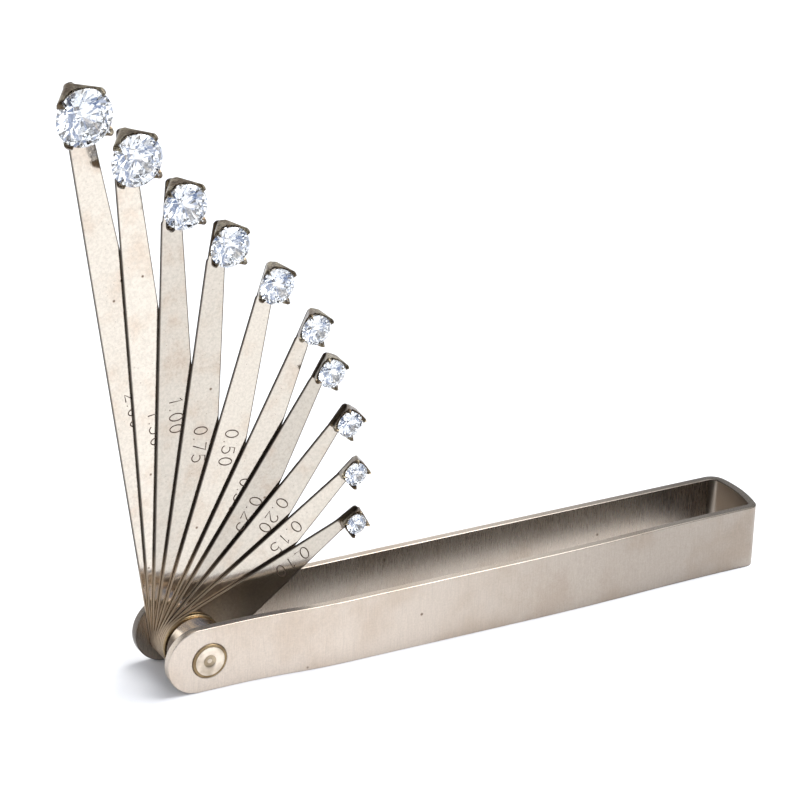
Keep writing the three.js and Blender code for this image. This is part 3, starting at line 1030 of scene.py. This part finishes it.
def brilliant(radius):
    """A round bar of stone ground flat by flat, so the girdle comes out scalloped."""
    bm = bmesh.new()
    around_y = Matrix.Rotation(math.radians(90), 4, "X")
    bmesh.ops.create_cone(
        bm, cap_ends=True, segments=96, radius1=radius, radius2=radius, depth=2.2 * radius,
        matrix=around_y)
    for point, normal in facet_planes(radius):
        everything = bm.verts[:] + bm.edges[:] + bm.faces[:]
        cut = bmesh.ops.bisect_plane(
            bm, geom=everything, dist=1e-5, plane_co=point, plane_no=normal, clear_outer=True)
        open_edges = [
            part for part in cut["geom_cut"]
            if isinstance(part, bmesh.types.BMEdge) and part.is_boundary
        ]
        if open_edges:
            bmesh.ops.edgeloop_fill(bm, edges=open_edges)
    bmesh.ops.remove_doubles(bm, verts=bm.verts, dist=1e-4)
    return bm


def build_stone(number, opened, place, radius, material):
    own_turn = math.radians(17.0 * int(number))
    bm = brilliant(radius)
    bm.transform(Matrix.Translation(place) @ Matrix.Rotation(own_turn, 4, "Y"))
    stone = object_from(bm, f"stone_{number}_brilliant", [material])
    for polygon in stone.data.polygons:
        polygon.use_smooth = False
    finish_piece(stone, f"stone_{number}", f"arm_{number}", opened)


# ---------------------------------------------------------------- assembly

def build_arms():
    """One blade, setting and stone for every joint of the frame."""
    engraving = engraved_steel()
    setting_faces = [setting_steel(), bright_inside()]
    clear = clear_stone()
    for joint in frame["joints"]:
        number = joint["child"][-2:]
        opened = -math.radians(joint["range_deg"][0])
        stone_low, stone_high = local_box(f"stone_{number}", opened)
        blade_low, blade_high = local_box(f"blade_{number}", opened)
        front = blade_low.y
        eye = blade_high.z
        radius = (stone_high.z - stone_low.z) / 2
        place = (stone_low + stone_high) / 2
        place.y = stone_low.y + (CUT["crown"] + CUT["girdle"] / 2) * radius
        tangent = blade_taper(eye, place.x, radius)[2]
        steel = blade_steel(number, opened, MARKS[number]["polish"], eye, tangent)
        build_blade(number, opened, place.x, radius, [steel, engraving])
        build_setting(number, opened, place, radius, front - place.y, front, setting_faces)
        build_stone(number, opened, place, radius, clear)


def build_fixed_parts():
    # Each face's near and far tones and its corner tone are painted light and shade.
    build_case([
        case_steel("case_outside", near=0.96, far=0.54, gloss=0.36),
        case_steel("case_inside_back", near=0.66, far=0.92, gloss=0.27, corner=0.9, depth=0.2),
        # Painted shade: the edge faces darken strongly towards the closed end and at the end of the
        # back leg.
        case_steel(
            "case_worn_edge", near=0.84, far=0.14, gloss=0.30, corner=0.25, fade=(34.0, 92.0)),
        # Painted shade: the front leg's inside darkens away from the rivet end.
        case_steel("case_inside_front", near=0.78, far=0.20, gloss=0.34, fade=(3.0, 13.0)),
        # Painted shade: the inside of the closed end is darker throughout.
        case_steel("case_inside_end", near=0.50, far=0.50, gloss=0.30, depth=0.2),
    ])
    rivet = turned_metal("rivet_steel", (0.82, 0.72, 0.60), (0.36, 0.29, 0.21), 0.34)
    ring = turned_metal("rivet_groove", (0.34, 0.25, 0.14), (0.16, 0.11, 0.06), 0.40)
    brass = turned_metal("washer_brass", (0.30, 0.22, 0.12), (0.12, 0.08, 0.05), 0.26)
    sunk = turned_metal("rivet_dimple", (0.46, 0.38, 0.27), (0.24, 0.18, 0.11), 0.30)
    build_rivet([rivet, ring, sunk])
    build_ring("washer", 0.18, brass)
    build_ring("spacer", 0.32, spacer_steel())


# ---------------------------------------------------------------- stage, light and camera

# What the stones see in front of them: white cells, and dark, blue and pale ones, each kind
# beyond its share of the whole.
PATCHES_OF_THE_ROOM = (
    (0.30, (0.02, 0.02, 0.03)),
    (0.68, (0.20, 0.26, 0.42)),
    (0.92, (0.7, 0.71, 0.74)),
)


def build_floor():
    """A pale floor at the height of the lowest edges of the case."""
    bm = bmesh.new()
    bmesh.ops.create_grid(bm, x_segments=1, y_segments=1, size=FLOOR_SIZE)
    floor = object_from(bm, "floor", [])
    floor.location.z = cad_box[0].z
    shader = material_shader("pale_floor")
    grain = shader.noise(shader.millimetres(), 0.6, 2.0)
    tone = shader.mix(grain, (0.84, 0.85, 0.87), (0.87, 0.875, 0.885))
    floor.data.materials.append(shader.metal(tone, 0.8, metallic=0.0))


def build_light():
    """One round lamp high on the right, aimed at the middle of the object."""
    place = Vector((500, -30, 920)) * MM
    target = Vector((30, -5, 20)) * MM
    data = bpy.data.lights.new("overhead", "AREA")
    data.shape = "DISK"
    data.size = 950 * MM
    data.energy = 15.0
    lamp = bpy.data.objects.new("overhead", data)
    lamp.location = place
    lamp.rotation_euler = (target - place).to_track_quat("-Z", "Y").to_euler()
    lamp.visible_camera = False
    bpy.context.scene.collection.objects.link(lamp)


def build_world():
    """White to the camera; bright near the horizon, darker overhead, patchy towards the front."""
    world = bpy.data.worlds.new("studio")
    bpy.context.scene.world = world
    shader = Shader(world, "OutputWorld")
    direction = shader.add("TexCoord").outputs["Generated"]
    _, y, z = shader.add("SeparateXYZ", {0: direction}).outputs
    overhead = shader.between(z, 0.50, 0.66)
    room = shader.mix(overhead, (1.3, 1.3, 1.3), (0.16, 0.15, 0.14))

    cells = shader.add("TexVoronoi", {"Vector": direction, "Scale": 3.2})
    chance = shader.add("SeparateColor", {0: cells.outputs["Color"]}).outputs[0]
    patches = (1.6, 1.6, 1.6)
    for share, shade in PATCHES_OF_THE_ROOM:
        patches = shader.mix(shader.math("GREATER_THAN", chance, share), patches, shade)
    front = shader.between(y, 0.15, 0.30, 1.0, 0.0)
    above = shader.between(z, 0.0, 0.1)
    seen = shader.mix(shader.math("MULTIPLY", front, above), room, patches)

    camera_ray = shader.add("LightPath").outputs["Is Camera Ray"]
    final = shader.mix(camera_ray, seen, (1.0, 1.0, 1.0))
    shader.surface(shader.add("Background", {"Color": final, "Strength": 1.0}).outputs[0])


def build_camera():
    """A long lens, ahead and to the left of the object, looking down at it."""
    azimuth = math.radians(29.66)
    elevation = math.radians(25.35)
    roll = math.radians(2.4)
    distance = 572.32
    aim_right = 31.92      # how far the view's centre lies right of the pivot
    aim_up = 31.51         # and above it
    level_share = math.cos(elevation)
    forward = Vector((
        math.sin(azimuth) * level_share, math.cos(azimuth) * level_share, -math.sin(elevation)))
    level = Vector((math.cos(azimuth), -math.sin(azimuth), 0))
    upright = level.cross(forward)
    right = math.cos(roll) * level + math.sin(roll) * upright
    up = math.cos(roll) * upright - math.sin(roll) * level
    place = (right * aim_right + up * aim_up - forward * distance) * MM
    data = bpy.data.cameras.new("camera")
    data.lens = 183.155
    data.sensor_width = 36.0
    data.clip_start = 10 * MM
    camera = bpy.data.objects.new("camera", data)
    turn = Matrix((right, up, -forward)).transposed().to_4x4()
    camera.matrix_world = Matrix.Translation(place) @ turn
    bpy.context.scene.collection.objects.link(camera)
    bpy.context.scene.camera = camera


def set_look():
    scene = bpy.context.scene
    scene.view_settings.view_transform = "Standard"
    scene.cycles.max_bounces = 24
    scene.cycles.transmission_bounces = 20
    scene.cycles.glossy_bounces = 10
    scene.cycles.sample_clamp_indirect = 8.0
    scene.cycles.use_denoising = True


build_fixed_parts()
build_arms()
build_floor()
build_world()
build_light()
build_camera()
set_look()
